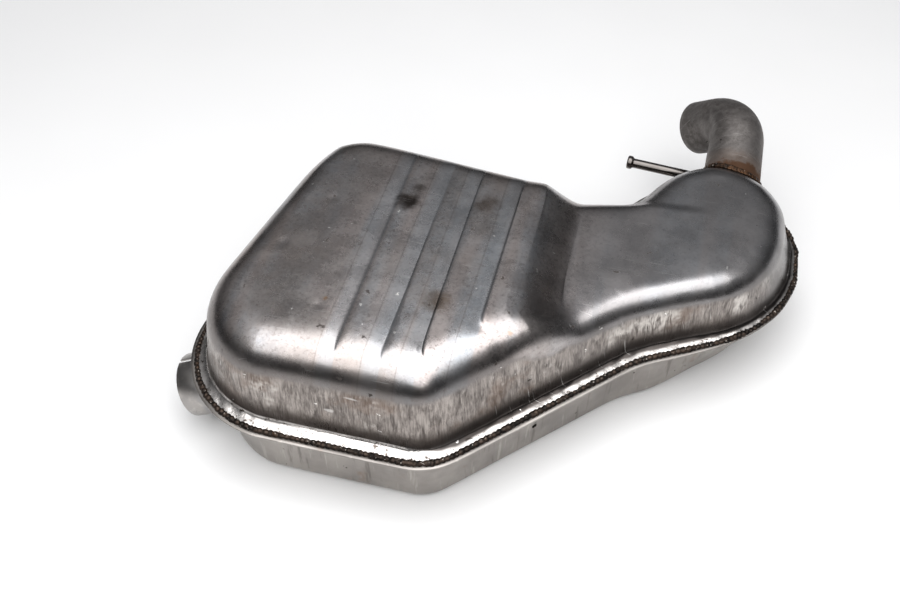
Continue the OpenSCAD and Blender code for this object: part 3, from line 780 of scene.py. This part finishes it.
def tail_tube():
    """The tube's outer skin: a circle pulled straight, spun through the bend, pulled on to its end."""
    start = TAIL_ROOT - TAIL_SUNK * TAIL_DIR
    turn = TAIL_DIR.to_track_quat("Z", "Y").to_matrix().to_4x4()
    bm = bmesh.new()
    bmesh.ops.create_circle(bm, segments=64, radius=TAIL_R, matrix=Matrix.Translation(start) @ turn)
    loop = list(bm.edges)

    def pull(edges, step, times):
        for _ in range(times):
            made = bmesh.ops.extrude_edge_only(bm, edges=edges)["geom"]
            fresh = [g for g in made if isinstance(g, bmesh.types.BMVert)]
            bmesh.ops.translate(bm, vec=step, verts=fresh)
            edges = [g for g in made if isinstance(g, bmesh.types.BMEdge)]
        return edges

    loop = pull(loop, TAIL_DIR * ((TAIL_SUNK + TAIL_STRAIGHT) / 10), 10)
    ends = list({v for e in loop for v in e.verts})
    spun = bmesh.ops.spin(
        bm, geom=ends + loop, cent=BEND_FROM + BEND_R * BEND_INSIDE, axis=TAIL_DIR.cross(BEND_INSIDE),
        angle=TAIL_DIR.angle(TAIL_END_DIR), steps=34,
    )
    loop = [g for g in spun["geom_last"] if isinstance(g, bmesh.types.BMEdge)]
    pull(loop, TAIL_END_DIR * (TAIL_PAST_BEND / 6), 6)
    bmesh.ops.remove_doubles(bm, verts=bm.verts, dist=1e-6)
    bmesh.ops.recalc_face_normals(bm, faces=bm.faces)
    return bm


def creased(bm, start, end, width, depth):
    """Presses a soft groove into the skin along a line."""
    bm.normal_update()
    line = end - start
    for vert in bm.verts:
        share = min(max((vert.co - start).dot(line) / line.length_squared, 0), 1)
        away = (vert.co - start - share * line).length / width
        vert.co -= vert.normal * depth * math.exp(-away * away)
    return bm


def pinched(bm):
    """Flattens the inside of the bend a little, as bending without a mandrel does."""
    bm.normal_update()
    for vert in bm.verts:
        run = (vert.co - BEND_FROM).dot(TAIL_DIR) - PINCH_PAST
        inner = max(vert.normal.dot(BEND_INSIDE), 0) ** 2
        vert.co -= vert.normal * PINCH_DEPTH * inner * math.exp(-(run / PINCH_SPREAD) ** 2)
    return bm


def walled(bm, wall):
    """Gives an open skin its wall, inwards."""
    bmesh.ops.solidify(bm, geom=bm.faces, thickness=wall)
    return bm


def bevelled(bm, angle, offset):
    """Rounds the edges sharper than angle."""
    sharp = [e for e in bm.edges if len(e.link_faces) == 2 and e.calc_face_angle(0) > angle]
    bmesh.ops.bevel(
        bm, geom=sharp, offset=offset, segments=2, profile=0.5, affect="EDGES",
        material=-1, clamp_overlap=True,
    )
    return bm


def inlet_socket():
    """Stepped tube with its slot cut through the rim."""
    bm = copy_of("inlet_collar", join=False)
    bmesh.ops.dissolve_limit(bm, angle_limit=math.radians(1), verts=bm.verts, edges=bm.edges)
    return bevelled(bm, math.radians(40), 0.0004)


def hanger_peg():
    """Rod with an upset head."""
    length = (ROD_IN - ROD_AT).length
    profile = [
        (0, 0), (0.0052, 0), (0.0064, 0.0004), (HEAD_R, 0.0013), (HEAD_R, 0.0044), (0.0066, 0.0054),
        (0.0054, 0.0064), (ROD_R, 0.0074), (ROD_R, 0.012), (ROD_R, length * 0.5), (ROD_R, length),
        (0, length),
    ]
    return turned(profile, ROD_AT, (ROD_IN - ROD_AT).normalized(), 40)


# ---------------------------------------------------------------- build

UPPER = pressed_steel()
LOWER = pan_steel()
SEAM = weld_metal("seam_scale", (0.012, 0.010, 0.009), (0.062, 0.044, 0.034), (0.130, 0.070, 0.040), -0.02)
ROOT = weld_metal("root_scale", (0.030, 0.021, 0.016), (0.095, 0.050, 0.027), (0.210, 0.095, 0.040), 0.06)
TUBE = tube_steel()
SOCKET = collar_steel()
ROD = bright_steel()
INNER = inner_steel()
WOOL = glass_wool()

seam = seam_line()
bead = seam_bead(seam)
upper_skin = raked_flange(dented(upper_half(), UPPER_WAVES), seam)
piece("upper_half", upper_skin, UPPER, ["upper_shell"])
piece("lower_half", dented(lower_half(), LOWER_WAVES), LOWER, ["lower_shell"])
piece("seam_bead", bead, SEAM, ["seam_weld"])
piece("seam_spatter", spatter(seam, DROPLETS), SEAM)
piece("inlet_bead", ring_bead("inlet_weld", COLLAR_AT, COLLAR_IN), SEAM, ["inlet_weld"])
piece("tail_bead", ring_bead("tail_weld", TAIL_ROOT, TAIL_DIR), ROOT, ["tail_weld"])
piece("inlet_socket", inlet_socket(), SOCKET, ["inlet_collar"], math.radians(35))
tail_skin = creased(pinched(tail_tube()), CREASE_FROM, CREASE_TO, CREASE_WIDTH, CREASE_DEPTH)
piece("tail_tube", walled(tail_skin, TAIL_WALL), TUBE, ["tail_pipe"])
piece("hanger_peg", hanger_peg(), ROD, ["hanger_rod"])

KEPT = {
    "inlet_pipe": INNER, "front_baffle": INNER, "middle_baffle": INNER, "rear_baffle": INNER,
    "wool_pack": WOOL, "wool_screen": INNER, "crossover_pipe": INNER, "outlet_pipe": INNER,
    "bell_mouth": INNER, "pipe_welds": SEAM, "hanger_bracket": SOCKET, "hanger_weld": SEAM,
}
for name, material in KEPT.items():
    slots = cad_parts[name].data.materials
    if slots:
        slots[0] = material
    else:
        slots.append(material)


# ---------------------------------------------------------------- studio

def floor():
    bm = bmesh.new()
    bmesh.ops.create_grid(bm, x_segments=2, y_segments=2, size=FLOOR_REACH)
    mesh = bpy.data.meshes.new("floor")
    bm.to_mesh(mesh)
    bm.free()
    mesh.materials.append(floor_paint())
    made = bpy.data.objects.new("floor", mesh)
    bpy.context.scene.collection.objects.link(made)


def room():
    """A dark room that is bright overhead; seen directly, it is as pale as the floor."""
    world = bpy.data.worlds.new("studio")
    world.use_nodes = True
    tree = world.node_tree
    sky = tree.nodes["Background"]
    way = tree.nodes.new("ShaderNodeTexCoord").outputs["Generated"]
    split = tree.nodes.new("ShaderNodeSeparateXYZ")
    tree.links.new(way, split.inputs[0])
    height = tree.nodes.new("ShaderNodeValToRGB")
    tree.links.new(split.outputs["Z"], height.inputs["Fac"])
    while len(height.color_ramp.elements) < len(ROOM):
        height.color_ramp.elements.new(0.5)
    for element, (at, level) in zip(height.color_ramp.elements, ROOM):
        element.position = at
        element.color = (level, level * 1.01, level * 1.04, 1)
    seen = tree.nodes.new("ShaderNodeMix")
    seen.data_type = "RGBA"
    tree.links.new(tree.nodes.new("ShaderNodeLightPath").outputs["Is Camera Ray"], seen.inputs["Factor"])
    tree.links.new(height.outputs["Color"], seen.inputs[6])
    seen.inputs[7].default_value = ROOM_SEEN
    tree.links.new(seen.outputs[2], sky.inputs["Color"])
    sky.inputs["Strength"].default_value = 1.0
    bpy.context.scene.world = world
    bpy.context.scene.view_settings.view_transform = "Standard"


def softbox():
    light = bpy.data.lights.new("overhead", "AREA")
    light.shape = "RECTANGLE"
    light.size, light.size_y = LAMP_SIZE
    light.energy = LAMP_POWER
    lamp = bpy.data.objects.new("overhead", light)
    bpy.context.scene.collection.objects.link(lamp)
    lamp.location = LAMP_AT
    aim = (LAMP_TOWARDS - LAMP_AT).to_track_quat("-Z", "Y").to_matrix()
    lamp.rotation_euler = (Matrix.Rotation(LAMP_YAW, 3, "Z") @ aim).to_euler()


def camera():
    lens = bpy.data.cameras.new("camera")
    lens.lens = LENS
    lens.sensor_width = 36
    lens.clip_start = 0.01
    made = bpy.data.objects.new("camera", lens)
    bpy.context.scene.collection.objects.link(made)
    made.location = CAMERA_AT
    made.rotation_euler = (CAMERA_TOWARDS - CAMERA_AT).to_track_quat("-Z", "Y").to_euler()
    bpy.context.scene.camera = made


floor()
room()
softbox()
camera()
